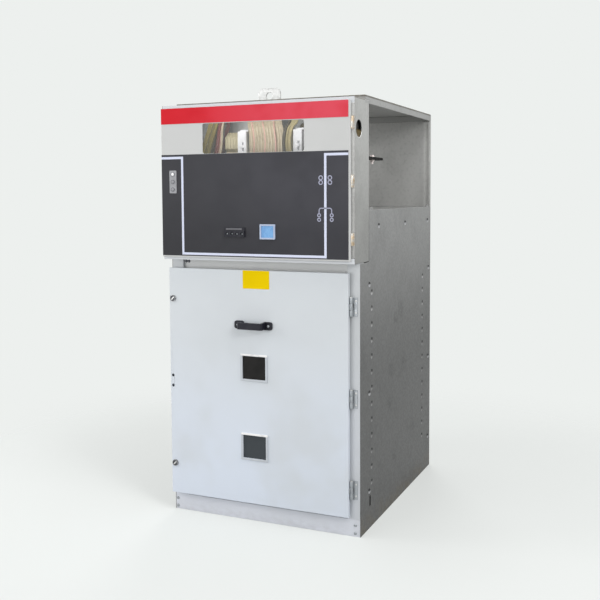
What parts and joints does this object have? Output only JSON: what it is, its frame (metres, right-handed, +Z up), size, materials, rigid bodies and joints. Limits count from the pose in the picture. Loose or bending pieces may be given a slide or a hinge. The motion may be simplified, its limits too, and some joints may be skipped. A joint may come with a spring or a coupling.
{
  "type": "metal-enclosed switchgear cubicle",
  "caption": "Free-standing folded-sheet switchgear cubicle with a hinged lower door, an instrument box above it and a busbar compartment open at both sides.",
  "frame": {"origin": "centre of the footprint's bounding box, on the floor", "axes": "+Z up, the front with the door faces -Y, +X to the viewer's right"},
  "size_m": [0.8, 1.035, 1.685],
  "materials": {
    "painted_frame": "light grey powder coat",
    "galvanised": "matt galvanised sheet with fine spangle",
    "light_zinc": "clean bright galvanised sheet",
    "bright_steel": "zinc plated",
    "hinge_steel": "satin steel",
    "panel_paint": "light grey powder coat",
    "red_film": "satin red film",
    "dark_film": "satin dark grey film",
    "clear_pane": "clear polycarbonate",
    "indicator_plastic": "pale grey",
    "black_plastic": "moulded black",
    "bezel_plastic": "pale grey",
    "blue_screen": "blue",
    "beige_plastic": "moulded beige",
    "white_plastic": "moulded white",
    "pane_frame": "moulded pale grey",
    "wire_sleeve": "olive sleeve",
    "door_paint": "pale blue-grey powder coat",
    "lock_metal": "dark plated",
    "dark_glass": "dark viewing pane"
  },
  "bodies": {
    "cabinet": {"front_plinth": "painted_frame", "rear_plinth": "galvanised", "left_base_rail": "galvanised", "right_base_rail": "galvanised", "anchor_plates": "galvanised", "floor_plate": "galvanised", "left_front_post": "painted_frame", "right_front_post": "painted_frame", "header_rail": "painted_frame", "left_side_panel": "galvanised", "right_side_panel": "galvanised", "lower_rear_panel": "galvanised", "upper_rear_cover": "light_zinc", "busbar_floor": "light_zinc", "roof_panel": "light_zinc", "lifting_lugs": "bright_steel", "box_left_wall": "light_zinc", "box_right_wall": "light_zinc", "box_top": "painted_frame", "box_bottom": "painted_frame", "box_back": "light_zinc", "instrument_panel": "panel_paint", "title_band": "red_film", "mimic_fascia": "dark_film", "window_pane": "clear_pane", "live_indicator": "indicator_plastic", "test_terminals": "black_plastic", "display_bezel": "bezel_plastic", "display_screen": "blue_screen", "panel_hinges": "bright_steel", "equipment_rail": "bright_steel", "terminal_blocks": "beige_plastic", "breaker_bodies": "white_plastic", "wire_looms": "wire_sleeve", "busbar_support": "black_plastic", "support_washers": "bright_steel", "joining_tabs": "galvanised", "hinge_post_leaves": "hinge_steel", "hinge_pins": "bright_steel"},
    "door": {"door_panel": "door_paint", "door_handle": "black_plastic", "door_locks": "lock_metal", "door_window_frames": "pane_frame", "door_window_panes": "dark_glass", "hinge_door_leaves": "hinge_steel"}
  },
  "joints": [
    {"name": "door_hinge", "type": "hinge", "parent": "cabinet", "child": "door", "pos_m": [0.368, -0.4545, 0.532], "axis": [0, 0, 1], "range_deg": [0, 120]}
  ]
}
